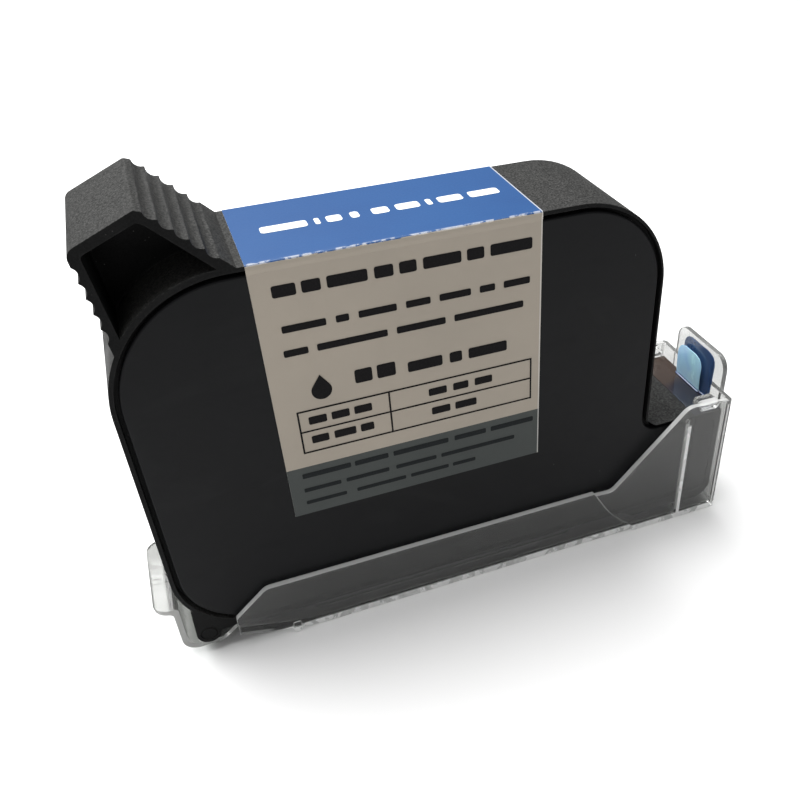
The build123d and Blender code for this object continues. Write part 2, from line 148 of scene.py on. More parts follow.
def relief(look, layers):
    normal = None
    for height, strength, depth in layers:  # coarse first, depth in metres
        bump = put(look, "ShaderNodeBump", {"Height": height, "Strength": strength, "Distance": depth})
        if normal is not None:
            look.node_tree.links.new(normal, bump.inputs["Normal"])
        normal = bump.outputs["Normal"]
    paint(look, "Normal", normal)


def edgeWearAndHighlight(look, radius, low=0.02, high=0.3):
    # 1 on the corners that hands rub and that catch the light, 0 on the faces between them: wear with a
    # painted edge highlight on the case, painted bright edges on the clip
    rounded = put(look, "ShaderNodeBevel", {"Radius": radius}, samples=4).outputs["Normal"]
    flat = put(look, "ShaderNodeNewGeometry").outputs["Normal"]
    product = put(look, "ShaderNodeVectorMath", {0: rounded, 1: flat}, operation="DOT_PRODUCT")
    return remap(look, calc(look, "SUBTRACT", 1.0, product.outputs["Value"]), low, high)


# Helpers for meshes.

meshing = {
    "mergeWithin": 1e-7,  # metres
    "flatWithin": 0.004,  # radians between faces that are one flat face
    "roundAbove": 32,  # degrees at an edge that the moulding rounds off
    "mouldedSharp": 38,
    "filmSharp": 50,
    "bagSharp": 60,
}


def finishMesh(shape, name, looks, body, nodes=(), sharp=meshing["mouldedSharp"], weighted=True):
    mesh = bpy.data.meshes.new(name)
    bmesh.ops.recalc_face_normals(shape, faces=shape.faces)
    shape.to_mesh(mesh)
    shape.free()
    for layer in ("custom_normal", "sharp_face", "sharp_edge"):
        if layer in mesh.attributes:
            mesh.attributes.remove(mesh.attributes[layer])
    for look in looks:
        mesh.materials.append(look)
    mesh.shade_smooth()
    mesh.set_sharp_from_angle(angle=math.radians(sharp))
    piece = bpy.data.objects.new(name, mesh)
    bpy.context.scene.collection.objects.link(piece)
    if weighted:
        modifier = piece.modifiers.new("flatFaces", "WEIGHTED_NORMAL")
        modifier.keep_sharp = True
    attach(piece, body)
    if nodes:
        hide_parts(*nodes)
    return piece


def moulded(node, name, look, body, edge, steps=2):
    # the CAD node's own faces, with every moulded corner rounded off
    shape = bmesh.new()
    shape.from_mesh(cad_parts[node].data)
    bmesh.ops.remove_doubles(shape, verts=shape.verts, dist=meshing["mergeWithin"])
    bmesh.ops.dissolve_limit(shape, angle_limit=meshing["flatWithin"], verts=shape.verts, edges=shape.edges)
    least = math.radians(meshing["roundAbove"])
    corners = [e for e in shape.edges if len(e.link_faces) == 2 and e.calc_face_angle() > least]
    bmesh.ops.bevel(shape, geom=corners, offset=edge, offset_type="OFFSET", segments=steps, profile=0.5,
                    affect="EDGES", clamp_overlap=False)
    low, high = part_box(node)
    for vert in shape.verts:  # a bevel can spread past a nearly flat corner
        vert.co = [min(max(c, a), b) for c, a, b in zip(vert.co, low, high)]
    for face in shape.faces:
        face.material_index = 0
    return finishMesh(shape, name, [look], body, [node])


def roundedPath(points, radii, steps=6):
    # straight runs joined by arcs, in two dimensions
    path = []
    for i, (point, radius) in enumerate(zip(points, radii)):
        here = Vector(point)
        if radius <= 0 or i in (0, len(points) - 1):
            path.append(here)
            continue
        back = (Vector(points[i - 1]) - here).normalized()
        ahead = (Vector(points[i + 1]) - here).normalized()
        half = back.angle(ahead) / 2
        middle = here + (back + ahead).normalized() * (radius / math.sin(half))
        first = here + back * (radius / math.tan(half)) - middle
        last = here + ahead * (radius / math.tan(half)) - middle
        for k in range(steps + 1):
            share = k / steps
            path.append(middle + (first * (1 - share) + last * share).normalized() * radius)
    return path


def densePath(path, longest):
    # the same path in steps no longer than this
    made = [path[0]]
    for a, b in zip(path, path[1:]):
        parts = max(1, math.ceil((b - a).length / longest))
        made += [a.lerp(b, k / parts) for k in range(1, parts + 1)]
    return made


def sheetAlong(path, axis, thickness, columns, spanAt, ripple):
    # a thin closed sheet swept sideways: axis "x" takes path as (y, z), axis "y" takes it as (x, z)
    shape = bmesh.new()
    grids = []
    for side in (0.5, -0.5):
        grid = []
        for i, point in enumerate(path):
            ahead = (path[min(i + 1, len(path) - 1)] - path[max(i - 1, 0)]).normalized()
            out = Vector((ahead.y, -ahead.x))
            low, high = spanAt(i, point)
            row = []
            for j in range(columns + 1):
                t = low + (high - low) * j / columns
                lift = side * thickness + ripple(i, t, point)
                flat = point + out * lift
                row.append(shape.verts.new((t, flat.x, flat.y) if axis == "x" else (flat.x, t, flat.y)))
            grid.append(row)
        grids.append(grid)
    top, under = grids
    for i in range(len(path) - 1):
        for j in range(columns):
            shape.faces.new((top[i][j], top[i][j + 1], top[i + 1][j + 1], top[i + 1][j]))
            shape.faces.new((under[i][j], under[i + 1][j], under[i + 1][j + 1], under[i][j + 1]))
        for j, a, b in ((0, under, top), (columns, top, under)):
            shape.faces.new((a[i][j], a[i + 1][j], b[i + 1][j], b[i][j]))
    for i, a, b in ((0, top, under), (len(path) - 1, under, top)):
        for j in range(columns):
            shape.faces.new((a[i][j], b[i][j], b[i][j + 1], a[i][j + 1]))
    return shape


# The case: a spark-eroded black moulding, greyer in streaks; its faces that point up are painted paler and
# speckled as top light, with some fine dust, and its edges painted lighter, part rubbed wear and part
# painted edge highlight.

caseFinish = {
    "deep": (0.0020, 0.0021, 0.0022),
    "raised": (0.0065, 0.0067, 0.0068),
    "grey": (0.010, 0.0102, 0.0102),
    "dustAndTopLightDark": (0.0130, 0.0132, 0.0127),
    # the next two paint the faces that point up paler, as top light with some dust
    "dustAndTopLightPale": (0.060, 0.060, 0.058),
    "rubbedAndEdgeHighlight": (0.034, 0.034, 0.033),
    # edges painted lighter: part rubbed wear, part painted edge highlight
    "dust": (0.20, 0.19, 0.185),
    "edge": 0.085 * mm,
    "edgeReach": 0.35 * mm,
}


def caseLook():
    look = newLook("mouldedBlackCase", caseFinish["raised"], 0.62, Specular_IOR_Level=0.09)
    sparks = grain(look, 5200, 3, 0.65)
    cloud = grain(look, 110, 5, 0.6)
    wipe = grain(look, 60, 4, 0.6, (1, 4, 1), 1.2)
    base = ramp(look, sparks, [(0.34, caseFinish["deep"]), (0.66, caseFinish["raised"])])
    grey = remap(look, wipe, 0.35, 0.75, (0.0, 0.35))
    base = over(look, grey, base, caseFinish["grey"])
    # painted top light: whatever faces up is made paler and speckled, with some fine dust
    speckle = remap(look, calc(look, "MULTIPLY", sparks, grain(look, 3300, 3, 0.6)), 0.18, 0.36)
    speckledTopLight = over(look, speckle, caseFinish["dustAndTopLightDark"], caseFinish["dustAndTopLightPale"])
    up = remap(look, facing(look, "Z"), 0.12, 0.55, (0.0, 0.95))
    base = over(look, up, base, speckledTopLight)
    specks = remap(look, cells(look, 950), 0.10, 0.02)
    base = over(look, calc(look, "MULTIPLY", specks, 0.35), base, caseFinish["dust"])
    # the edges are painted lighter: part rubbed wear, part painted edge highlight
    patchy = remap(look, grain(look, 700, 4), 0.40, 0.72, (0.05, 0.75))
    worn = calc(look, "MULTIPLY", edgeWearAndHighlight(look, caseFinish["edgeReach"]), patchy)
    paint(look, "Base Color", over(look, worn, base, caseFinish["rubbedAndEdgeHighlight"]))
    paint(look, "Roughness", remap(look, cloud, 0.3, 0.7, (0.50, 0.70)))
    pits = cells(look, 3600, "SMOOTH_F1")
    relief(look, [(cloud, 0.15, 0.10 * mm), (pits, 0.30, 0.05 * mm), (sparks, 0.45, 0.05 * mm)])
    return look


caseBlack = caseLook()
moulded("pen_frame", "caseRing", caseBlack, "cartridge", caseFinish["edge"])
print("case ring made")

# The two side covers: the same resin in a finer satin finish, with a soft edge towards the groove.

coverFinish = {
    "colour": (0.0050, 0.0052, 0.0058),
    "pale": (0.0075, 0.0078, 0.0086),
    "smear": (0.012, 0.0125, 0.0130),
    "lint": (0.10, 0.10, 0.10),
    "edge": 0.34 * mm,
}


def coverLook():
    look = newLook("satinBlackCover", coverFinish["colour"], 0.45, Specular_IOR_Level=0.10)
    fine = grain(look, 7400, 2, 0.5)
    cloud = grain(look, 70, 5, 0.55)
    flow = grain(look, 38, 3, 0.5, (1, 1, 2.2), 2.0)
    base = ramp(look, cloud, [(0.3, coverFinish["colour"]), (0.7, coverFinish["pale"])])
    smear = remap(look, flow, 0.55, 0.80, (0.0, 0.45))
    base = over(look, smear, base, coverFinish["smear"])
    lint = remap(look, cells(look, 420, "F1", (1, 1, 0.35)), 0.035, 0.01)
    base = over(look, calc(look, "MULTIPLY", lint, 0.5), base, coverFinish["lint"])
    paint(look, "Base Color", base)
    scuffs = remap(look, grain(look, 900, 2, 0.5, (0.2, 1, 1), 0.4), 0.6, 0.75)
    satin = remap(look, cloud, 0.3, 0.7, (0.38, 0.50))
    paint(look, "Roughness", calc(look, "ADD", satin, calc(look, "MULTIPLY", scuffs, 0.08)))
    relief(look, [(flow, 0.10, 0.2 * mm), (fine, 0.22, 0.02 * mm)])
    return look


coverBlack = coverLook()
for side in ("near", "far"):
    node = side + "_side_cover"
    moulded(node, side + "Cover", coverBlack, "cartridge", coverFinish["edge"], 3)
print("side covers made")

# The label: one strip of coated paper over the top, blue above, cream and grey down the near side.

labelSheet = {
    "thickness": 0.09 * mm,
    "gap": 0.12 * mm,
    "rim": 0.65 * mm,
    "groove": 0.60 * mm,
    "recess": 0.10 * mm,
    "greyFrom": 32.4 * mm,
    "foldRadius": 0.25 * mm,
    "softRadii": (0.6 * mm, 0.5 * mm),  # into the cover's groove, and out over the rim
    "farDrop": 6 * mm,
    "step": 1.0 * mm,
    "columns": 44,
    "cockle": 0.012 * mm,
    "cream": (0.363, 0.320, 0.266),
    "creamDark": (0.331, 0.294, 0.245),
    "blue": (0.009, 0.060, 0.185),
    "blueDark": (0.007, 0.050, 0.165),
    "grey": (0.050, 0.057, 0.054),
    "greyDark": (0.041, 0.047, 0.045),
    "paper": (0.74, 0.73, 0.70),
    "ink": (0.008, 0.0075, 0.008),
    "cutWidth": 0.16 * mm,
    "edgeWithin": 0.001 * mm,
    "foldDepth": 0.02 * mm,
    "foldBand": (0.42 * mm, 0.12 * mm),  # in from the near face: where the wear starts, where it is full
    "foldLevel": (0.16 * mm, 0.05 * mm),  # and down from the top
    "foldWear": 0.40,
    "cutShow": 0.5,
}

labelLow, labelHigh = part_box("wrap_label")
labelTop = labelHigh.z - labelSheet["gap"]
labelHalf = labelHigh.y - labelSheet["gap"]


def paperLook(name, light, dark, roughness, specular):
    look = newLook(name, light, roughness, Specular_IOR_Level=specular)
    fibre = grain(look, 2600, 4, 0.7, (1, 1, 0.55))
    cloud = grain(look, 55, 4, 0.5)
    base = ramp(look, cloud, [(0.3, dark), (0.7, light)])
    base = over(look, remap(look, fibre, 0.55, 0.9, (0.0, 0.20)), base, dark)
    # the paper's white shows at the right cut edge, and in a broken line along the near fold
    cutWidth = labelSheet["cutWidth"]
    cut = remap(look, axisOf(look, "X"), labelHigh.x - 1.2 * cutWidth, labelHigh.x - cutWidth)
    starts, full = labelSheet["foldBand"]
    fold = remap(look, axisOf(look, "Y"), starts - labelHalf, full - labelHalf)
    starts, full = labelSheet["foldLevel"]
    level = remap(look, axisOf(look, "Z"), labelTop - starts, labelTop - full)
    worn = times(look, fold, level, remap(look, grain(look, 900, 4), 0.46, 0.54))
    base = over(look, calc(look, "MULTIPLY", worn, labelSheet["foldWear"]), base, labelSheet["paper"])
    bare = calc(look, "MULTIPLY", cut, labelSheet["cutShow"])
    paint(look, "Base Color", over(look, bare, base, labelSheet["paper"]))
    paint(look, "Roughness", remap(look, fibre, 0.3, 0.7, (roughness - 0.06, roughness + 0.06)))
    relief(look, [(grain(look, 140, 3, 0.5), 0.20, 0.12 * mm), (fibre, 0.16, 0.012 * mm)])
    return look


def inkLook(name, colour, roughness):
    look = newLook(name, colour, roughness, Specular_IOR_Level=0.06)
    dots = grain(look, 4200, 2, 0.5)
    faded = tuple(1.25 * c + 0.003 for c in colour)
    paint(look, "Base Color", ramp(look, dots, [(0.42, colour), (0.75, faded)]))
    paint(look, "Roughness", remap(look, dots, 0.3, 0.7, (roughness - 0.05, roughness + 0.08)))
    relief(look, [(dots, 0.10, 0.01 * mm)])
    return look


def labelPath():
    # up the near side, over the top and a little way down the far side, as (y, z)
    s = labelSheet
    cover = labelHalf - s["recess"] + s["gap"] / 2
    rim = labelHalf + s["gap"] / 2
    top = labelTop + s["gap"] / 2
    bend = labelTop - s["rim"]
    dip = bend - s["groove"]
    points = [(-cover, labelLow.z), (-cover, dip), (-rim, bend), (-rim, top),
              (rim, top), (rim, bend), (cover, dip), (cover, bend - s["farDrop"])]
    inner, outer = s["softRadii"]
    fold = s["foldRadius"]
    return roundedPath(points, [0, inner, outer, fold, fold, outer, inner, 0])


def labelRipple(i, t, point):
    # the shallow cockle of glued paper, coarse and fine
    spot = Vector((t * 180, point.x * 180, point.y * 180))
    return labelSheet["cockle"] * (noise.noise(spot) + 0.5 * noise.noise(spot * 3.1))


def makeLabel():
    path = labelPath()
    greyLine = labelTop - labelSheet["greyFrom"]
    path.insert(1, Vector((path[0].x, greyLine)))
    path = densePath(path, labelSheet["step"])

    def width(i, point):
        return labelLow.x, labelHigh.x

    shape = sheetAlong(path, "x", labelSheet["thickness"], labelSheet["columns"], width, labelRipple)
    foldLine = labelTop - labelSheet["foldDepth"]
    blue, cream, grey, cut = range(4)
    for face in shape.faces:
        middle = face.calc_center_median()
        fromEdge = min(abs(middle.x - labelLow.x), abs(middle.x - labelHigh.x))
        if fromEdge < labelSheet["edgeWithin"]:
            face.material_index = cut
        elif middle.z < greyLine:
            face.material_index = grey
        elif middle.z < foldLine and middle.y < 0:
            face.material_index = cream
        else:
            face.material_index = blue
    looks = [paperLook("labelBlue", labelSheet["blue"], labelSheet["blueDark"], 0.45, 0.30),
             paperLook("labelCream", labelSheet["cream"], labelSheet["creamDark"], 0.58, 0.25),
             paperLook("labelGrey", labelSheet["grey"], labelSheet["greyDark"], 0.52, 0.25),
             paperLook("labelCutEdge", labelSheet["paper"], labelSheet["paper"], 0.8, 0.2)]
    return finishMesh(shape, "wrapLabel", looks, "cartridge", ["wrap_label"],
                      meshing["filmSharp"], False)


makeLabel()
print("label made")

# Its print: rules, a plain drop, and bars where lines of type would stand. All are thin films of ink.
# Bars are (from, to) across the label, in mm from its left edge; a line starts with its middle below
# the fold, the height of its bars and the radius of their corners.

labelPrint = {
    "lift": 0.004 * mm,
    "film": 0.008 * mm,
    "clear": 0.018 * mm,  # the paper's cockle stays under the ink
    "sideLines": [
        (4.15, 1.7, 0.3, [(2.6, 5.7), (6.4, 8.9), (9.7, 15.1), (16.0, 18.6),
                          (19.4, 21.8), (22.7, 28.1), (28.9, 31.4), (32.3, 38.5)]),
        (9.65, 1.05, 0.22, [(3.0, 8.9), (10.2, 12.0), (13.3, 18.6), (19.9, 23.4),
                            (24.7, 29.3), (30.6, 32.9), (34.2, 38.2)]),
        (13.25, 1.05, 0.22, [(2.7, 6.0), (7.2, 17.0), (18.3, 25.4), (26.7, 37.2)]),
        (19.1, 2.2, 0.3, [(11.7, 14.2), (14.9, 17.6)]),
        (19.5, 1.7, 0.3, [(19.4, 24.6), (25.7, 27.6), (28.6, 34.6)]),
    ],
    "topLine": (0, 2.1, 0.5, [(3.6, 9.9), (10.9, 11.6), (12.5, 14.6), (15.8, 17.0), (18.8, 21.2),
                              (22.2, 25.6), (26.6, 27.4), (28.3, 31.9), (32.9, 37.4)]),
    "greyLines": [
        (34.0, 0.88, 0.18, [(2.1, 9.4), (10.0, 15.2), (16.0, 24.8), (25.8, 31.0), (31.8, 39.0)]),
        (36.65, 0.715, 0.18, [(2.0, 7.6), (8.4, 15.1), (16.2, 22.7), (23.5, 35.8)]),
        (39.0, 0.66, 0.18, [(2.0, 8.2), (9.8, 17.6), (18.4, 24.6), (25.3, 29.1)]),
    ],
    "cellLines": [
        (24.6, 1.3, 0.22, [(4.4, 7.0), (7.7, 10.3), (11.0, 13.6)]),
        (27.9, 1.3, 0.22, [(4.4, 6.9), (7.7, 10.9), (11.6, 13.6)]),
        (24.6, 1.25, 0.22, [(22.2, 25.0), (26.0, 28.4), (29.4, 32.2)]),
        (28.0, 1.25, 0.22, [(22.5, 25.4), (26.2, 29.6)]),
    ],
    "tableAcross": (3.03, 16.27, 38.5),
    "tableDown": (22.85, 26.3, 29.9),
    "ruleWidth": 0.26,
    "ruleCorner": 0.02,
    "drop": (6.9, 20.0, 1.45),  # across, down, radius
    "white": (0.60, 0.62, 0.62),
    "faint": (0.014, 0.016, 0.017),
}


def inkShape(shape, outline, spread, index):
    # outline runs round one mark; spread turns its points into places on the label and on top of the ink
    lift = labelPrint["lift"]
    low = [shape.verts.new(spread(p, lift)) for p in outline]
    high = [shape.verts.new(spread(p, lift + labelPrint["film"])) for p in outline]
    faces = [shape.faces.new(high), shape.faces.new(low[::-1])]
    faces += [shape.faces.new((low[i - 1], low[i], high[i], high[i - 1])) for i in range(len(outline))]
    for face in faces:
        face.material_index = index


def barOutline(across, down, width, height, radius):
    points = []
    x = width / 2 - radius
    y = height / 2 - radius
    for cx, cy, start in ((x, y, 0), (-x, y, 90), (-x, -y, 180), (x, -y, 270)):
        for k in range(4):
            turn = math.radians(start + 30 * k)
            points.append((across + cx + radius * math.cos(turn), down + cy + radius * math.sin(turn)))
    return points


def dropOutline(across, down, radius):
    tip = 1.75 * radius
    reach = math.degrees(math.asin(radius / tip))
    points = [(across, down - tip)]
    for k in range(25):
        turn = math.radians(-reach + k * (180 + 2 * reach) / 24)
        points.append((across + radius * math.cos(turn), down + radius * math.sin(turn)))
    return points


def makePrint():
    shape = bmesh.new()
    p = labelPrint
    black, white, faint = range(3)
    clear = labelSheet["gap"] / 2 + labelSheet["thickness"] / 2 + p["clear"]
    paperFace = -(labelHalf - labelSheet["recess"] + clear)
    paperTop = labelTop + clear

    def onSide(point, lift):
        return (labelLow.x + point[0] * mm, paperFace - lift, labelTop - point[1] * mm)

    def onTop(point, lift):
        return (labelLow.x + point[0] * mm, -point[1] * mm, paperTop + lift)

    def addLine(line, spread, ink):
        middle, height, radius, bars = line
        for low, high in bars:
            corner = min(radius, 0.46 * (high - low), 0.46 * height)
            inkShape(shape, barOutline((low + high) / 2, middle, high - low, height, corner), spread, ink)

    def addRule(across, down, width, height):
        inkShape(shape, barOutline(across, down, width, height, p["ruleCorner"]), onSide, black)

    for line in p["sideLines"]:
        addLine(line, onSide, black)
    addLine(p["topLine"], onTop, white)
    for line in p["greyLines"]:
        addLine(line, onSide, faint)
    for line in p["cellLines"]:
        addLine(line, onSide, black)
    left, divider, right = p["tableAcross"]
    rule = p["ruleWidth"]
    for down in p["tableDown"]:
        addRule((left + right) / 2, down, right - left + rule, rule)
    for first, last in zip(p["tableDown"], p["tableDown"][1:]):
        for across in (left, divider, right):
            addRule(across, (first + last) / 2, rule, last - first - rule)
    inkShape(shape, dropOutline(*p["drop"]), onSide, black)
    looks = [inkLook("printBlack", labelSheet["ink"], 0.7), inkLook("printWhite", p["white"], 0.6),
             inkLook("printFaint", p["faint"], 0.7)]
    return finishMesh(shape, "labelPrint", looks, "cartridge", (),
                      meshing["filmSharp"], False)


makePrint()
print("label print made")

# The protective tape: a thin brown film under the nozzles, round the snout's end and over the ledge.

tapeFilm = {
    "thickness": 0.07 * mm,
    "cad": 0.10 * mm,
    "onLedge": 5.54 * mm,
    "roundRadius": 2.9 * mm,
    "foldRadius": 0.30 * mm,
    "step": 0.8 * mm,
    "columns": 30,
    "ripple": 0.010 * mm,
    "sheenAcross": (4 * mm, -5 * mm),  # brown at the first, violet at the second
    "brown": (0.056, 0.040, 0.033),
    "violet": (0.021, 0.019, 0.029),
}


def tapeLook():
    look = newLook("brownTape", tapeFilm["brown"], 0.16,
                   Specular_IOR_Level=0.5, Coat_Weight=0.25, Coat_Roughness=0.08)
    across = remap(look, axisOf(look, "Y"), *tapeFilm["sheenAcross"])
    uneven = remap(look, grain(look, 160, 3, 0.5, (1, 1, 1), 1.5), 0.3, 0.7, (-0.22, 0.22))
    sheen = calc(look, "ADD", across, uneven)
    paint(look, "Base Color", ramp(look, sheen, [(0.25, tapeFilm["brown"]), (0.75, tapeFilm["violet"])]))
    streak = grain(look, 420, 3, 0.5, (1, 0.15, 1))
    paint(look, "Roughness", remap(look, streak, 0.3, 0.7, (0.10, 0.24)))
    paint(look, "Alpha", remap(look, streak, 0.2, 0.8, (0.74, 0.80)))
    relief(look, [(grain(look, 150, 2), 0.30, 0.12 * mm), (streak, 0.15, 0.02 * mm)])
    return look


def makeTape():
    s = tapeFilm
    low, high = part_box("nozzle_tape")
    half = s["cad"] / 2
    end = high.x - half
    under = low.z + half
    top = high.z - half
    points = [(low.x, under), (end, under), (end, top), (high.x - s["onLedge"], top)]
    path = densePath(roundedPath(points, [0, s["roundRadius"], s["foldRadius"], 0], 10), s["step"])

    def width(i, point):
        return low.y, high.y

    def ripple(i, t, point):
        return s["ripple"] * noise.noise(Vector((point.x * 300, t * 160, point.y * 300)))

    shape = sheetAlong(path, "y", s["thickness"], s["columns"], width, ripple)
    return finishMesh(shape, "nozzleTape", [tapeLook()], "cartridge", ["nozzle_tape"],
                      meshing["filmSharp"], False)


makeTape()
print("tape made")

# Its pull tab: clear blue film folded double, as two painted copies of one film: the front leaf painted
# pale as lit, the back one and the foot painted deep as in shade.

tabFilm = {
    "thickness": 0.10 * mm,
    "corner": 2.1 * mm,
    "foot": 0.22 * mm,
    "shift": 2.6 * mm,
    "backShift": 0.5 * mm,
    "drop": 1.9 * mm,
    "bend": 0.35 * mm,
    "footHeight": 0.25 * mm,
    "frontSet": (-0.02 * mm, -0.10 * mm, -0.16 * mm),  # place of the bend, lean at the top, bow
    "backSet": (0.30 * mm, 0.30 * mm, 0.05 * mm),
    "cupping": 0.10 * mm,
    "columns": 26,
    # the same film twice: pale is it painted as lit, deep is it painted as in shade
    "pale": (0.36, 0.64, 0.96),
    "deep": (0.012, 0.045, 0.13),
}


def tabLook(name, colour, roughness, alpha):
    look = newLook(name, colour, roughness,
                   Specular_IOR_Level=0.6, Coat_Weight=0.6, Coat_Roughness=0.05, Alpha=alpha)
    cloud = grain(look, 240, 3, 0.5, (1, 1, 0.5), 0.8)
    lighter = tuple(min(1, c * 1.35 + 0.02) for c in colour)
    paint(look, "Base Color", ramp(look, cloud, [(0.3, colour), (0.75, lighter)]))
    paint(look, "Roughness", remap(look, cloud, 0.3, 0.7, (roughness - 0.05, roughness + 0.08)))
    relief(look, [(cloud, 0.35, 0.25 * mm), (grain(look, 1800, 3, 0.5, (0.1, 1, 1)), 0.08, 0.02 * mm)])
    return look


def makeTab():
    s = tabFilm
    low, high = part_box("tape_pull_tab")
    foot = low.z + s["thickness"]

    def leaf(front):
        top = high.z - (s["drop"] if front else 0)
        yLow, yHigh = (low.y + s["shift"], high.y) if front else (low.y, high.y - s["backShift"])
        shift, lean, bowing = s["frontSet"] if front else s["backSet"]
        bendX = low.x + shift
        points = [(bendX - s["foot"], foot), (bendX, foot), (bendX + lean, top)]
        path = densePath(roundedPath(points, [0, s["bend"], 0], 8), s["bend"])

        def span(i, point):
            rise = max(0.0, point.y - (top - s["corner"]))
            cut = s["corner"] - math.sqrt(max(0.0, s["corner"] ** 2 - rise ** 2))
            return yLow + cut, yHigh - cut

        def bow(i, t, point):
            rise = (point.y - foot) / (top - foot)
            middle = (t - yLow) / (yHigh - yLow)
            cup = s["cupping"] * rise * math.sin(math.pi * middle)
            return bowing * math.sin(math.pi * rise) - cup

        return sheetAlong(path, "y", s["thickness"], s["columns"], span, bow)

    whole = bmesh.new()
    for index, front in enumerate((True, False)):
        shape = leaf(front)
        for face in shape.faces:
            onFoot = face.calc_center_median().z < foot + s["footHeight"]
            # the foot is painted with the shaded copy of the film
            face.material_index = 1 if onFoot else index
        part = bpy.data.meshes.new("leaf")
        shape.to_mesh(part)
        shape.free()
        whole.from_mesh(part)
        bpy.data.meshes.remove(part)
    looks = [tabLook("tabLitFilm", s["pale"], 0.20, 0.92), tabLook("tabShadedFilm", s["deep"], 0.16, 0.93)]
    return finishMesh(whole, "pullTab", looks, "cartridge", ["tape_pull_tab"],
                      meshing["filmSharp"], False)


makeTab()
print("pull tab made")

# The clip and its latch: clear polystyrene, faintly milky, with flow marks and fine scratches. Their narrow
# faces, corners, ribs and a strip by the floor are painted milky white as the bright edges and the white
# floor that light shows through clear plastic, and the end plate's edges are painted grey as shade.

clearFinish = {
    "colour": (0.52, 0.525, 0.515),
    "latchColour": (0.35, 0.355, 0.343),
    # the next three are painted colours: bright edges on the latch, grey shade on the end plate's edges,
    # and white for painted bright edges and the bright strip
    "latchEdgeHighlight": (0.66, 0.665, 0.65),
    "plateEdgeShade": (0.33, 0.335, 0.33),
    "paintedWhite": (0.92, 0.925, 0.915),
    "lampColour": (0.80, 0.81, 0.805),
    "haze": 0.045,
    "latchHaze": 0.14,
    # shares of painted light follow: bright corners, rims, end plate, meeting line and ribs
    "cornerHighlight": 0.32,
    "edge": 0.18 * mm,
    "edgeReach": 0.45 * mm,
    "rimHighlight": 0.62,
    "plateShareShade": 0.35,
    "meetingHighlight": 0.7,
    "ribHighlight": 0.8,
    "leastPassing": 0.08,
    "paintedLightRough": 0.25,
    "endFrom": 48.8 * mm,
    "lowWallTop": (1.4 * mm, 1.7 * mm),
    "tongueFrom": (23.6 * mm, 23.9 * mm),
    "wallFace": (9.5 * mm, 9.6 * mm),
    "meetingBand": (0.22 * mm, 0.14 * mm),
    "brightStripHeight": 1.3 * mm,
    "ribPlace": 41.4 * mm,
    "ribHalf": 0.33 * mm,
    "ribTop": 21.5 * mm,
}


def cutFaces(look):
    # masks for the painted light: the narrow faces round the walls, the thin edges of the end plate, and
    # the line where the two meet
    s = clearFinish
    sideways = absolute(look, facing(look, "Y"))
    endways = absolute(look, facing(look, "X"))
    height = axisOf(look, "Z")
    x = axisOf(look, "X")
    atEnd = remap(look, x, s["endFrom"] - 0.1 * mm, s["endFrom"])
    offMiddle = remap(look, absolute(look, axisOf(look, "Y")), *s["wallFace"])
    walls = times(look, remap(look, sideways, 0.6, 0.4), calc(look, "SUBTRACT", 1.0, atEnd), offMiddle,
                  remap(look, height, *s["lowWallTop"]))
    plate = times(look, remap(look, endways, 0.6, 0.4), atEnd, remap(look, height, *s["tongueFrom"]))
    fromMeeting = absolute(look, calc(look, "SUBTRACT", x, s["endFrom"]))
    meeting = times(look, remap(look, fromMeeting, *s["meetingBand"]), remap(look, sideways, 0.4, 0.6),
                    remap(look, height, *reversed(s["tongueFrom"])))
    return walls, plate, meeting


def paintedStripAndRibs(look):
    # painted light: the strip beside the floor, white for the bright floor seen through it, and the two
    # ribs, white as a painted highlight
    s = clearFinish
    patches = remap(look, grain(look, 420, 4, 0.6, (1, 1, 0.7), 0.6), 0.34, 0.62, (0.62, 1.0))
    low = remap(look, axisOf(look, "Z"), 1.15 * s["brightStripHeight"], 0.9 * s["brightStripHeight"])
    upright = remap(look, absolute(look, facing(look, "Z")), 0.7, 0.4)
    strip = times(look, low, upright, patches)
    fromRib = absolute(look, calc(look, "SUBTRACT", axisOf(look, "X"), s["ribPlace"]))
    onRib = remap(look, fromRib, 1.2 * s["ribHalf"], 0.9 * s["ribHalf"], (0.0, s["ribHighlight"]))
    rib = calc(look, "MULTIPLY", onRib, remap(look, axisOf(look, "Z"), s["ribTop"], 0.97 * s["ribTop"]))
    return calc(look, "MAXIMUM", strip, rib)


